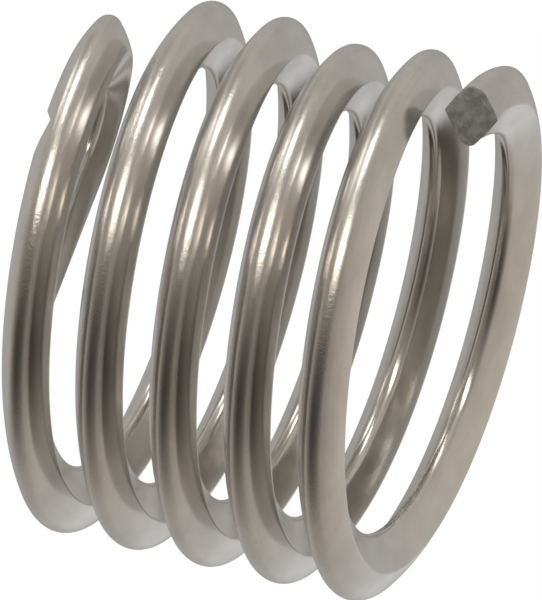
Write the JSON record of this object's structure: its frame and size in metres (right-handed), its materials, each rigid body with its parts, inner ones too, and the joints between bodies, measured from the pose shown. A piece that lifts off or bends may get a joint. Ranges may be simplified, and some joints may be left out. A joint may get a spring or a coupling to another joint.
{
  "type": "helical thread insert",
  "caption": "Coil of diamond section wire that lines a tapped hole, with an inward driving tang and a break-off notch at one end.",
  "frame": {"origin": "on the coil's axis, level with the lowest point of the wire at the plain sheared end", "axes": "+Z along the coil's axis from the plain end to the tang end, which goes first into the tapped hole; +X through the sheared face of the wire"},
  "size_m": [0.0122, 0.0122, 0.0102],
  "materials": {
    "wire": "smooth rolled stainless wire"
  },
  "bodies": {
    "root": {"thread_insert": "wire"}
  },
  "joints": []
}
